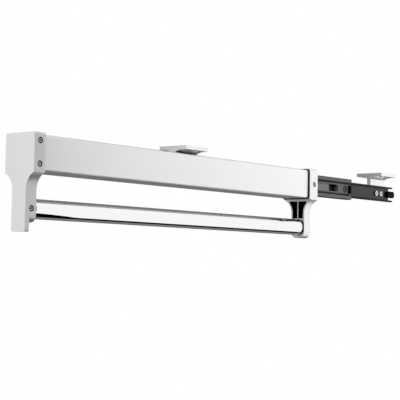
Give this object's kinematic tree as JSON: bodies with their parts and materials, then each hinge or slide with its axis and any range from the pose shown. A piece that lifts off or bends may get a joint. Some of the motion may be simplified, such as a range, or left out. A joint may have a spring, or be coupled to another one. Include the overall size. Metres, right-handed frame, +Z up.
{
  "type": "pull-out trouser rack",
  "caption": "Box-section carrier with a hanging tube below, pulled out on a telescopic ball slide that hangs from two T-shaped brackets",
  "frame": {"origin": "centre of the front mounting bracket's top face, which lies against the shelf above", "axes": "+X across the rack, +Y along it towards the back, +Z up to the shelf; the carrier pulls out along -Y"},
  "size_m": [0.0452, 0.7704, 0.1144],
  "materials": {
    "anodised_profile": "satin anodised",
    "cast_bracket": "fine silver paint",
    "black_rubber": "matt",
    "polished_tube": "bright anodised",
    "black_plastic": "moulded",
    "side_screw": "zinc plated",
    "black_channel": "black coated steel",
    "grey_channel": "black coated steel",
    "slide_screw": "zinc plated",
    "cage_steel": "rolled",
    "ball_steel": "polished",
    "mount_alloy": "satin anodised"
  },
  "bodies": {
    "mounting": {"front_mount": "mount_alloy", "rear_mount": "mount_alloy", "front_mount_screws": "slide_screw", "rear_mount_screws": "slide_screw", "inner_channel": "black_channel", "inner_end_bumper": "black_plastic"},
    "carrier": {"carrier_profile": "anodised_profile", "front_bracket": "cast_bracket", "rear_bracket": "cast_bracket", "profile_gasket": "black_rubber", "hanging_tube": "polished_tube", "front_tube_plug": "black_plastic", "rear_tube_plug": "black_plastic", "front_bracket_screws": "side_screw", "tube_screw": "side_screw", "rear_bracket_screws": "side_screw", "closing_buffer": "black_rubber", "outer_channel": "black_channel", "outer_channel_screws": "slide_screw"},
    "middle": {"middle_channel": "grey_channel", "middle_end_stop": "black_plastic"},
    "inner_cage": {"inner_ball_cage": "cage_steel", "inner_balls": "ball_steel"},
    "outer_cage": {"outer_ball_cage": "cage_steel", "outer_balls": "ball_steel"}
  },
  "joints": [
    {"name": "pull_out", "type": "slide", "parent": "mounting", "child": "carrier", "axis": [0, -1, 0], "range_m": [-0.241, 0.214]},
    {"name": "middle_slide", "type": "slide", "parent": "mounting", "child": "middle", "axis": [0, -1, 0], "range_m": [-0.1205, 0.107]},
    {"name": "inner_cage_slide", "type": "slide", "parent": "mounting", "child": "inner_cage", "axis": [0, -1, 0], "range_m": [-0.06025, 0.0535]},
    {"name": "outer_cage_slide", "type": "slide", "parent": "mounting", "child": "outer_cage", "axis": [0, -1, 0], "range_m": [-0.18075, 0.1605]}
  ],
  "couplings": [
    {"joint": "middle_slide", "follows": "pull_out", "ratio": 0.5},
    {"joint": "inner_cage_slide", "follows": "pull_out", "ratio": 0.25},
    {"joint": "outer_cage_slide", "follows": "pull_out", "ratio": 0.75}
  ]
}
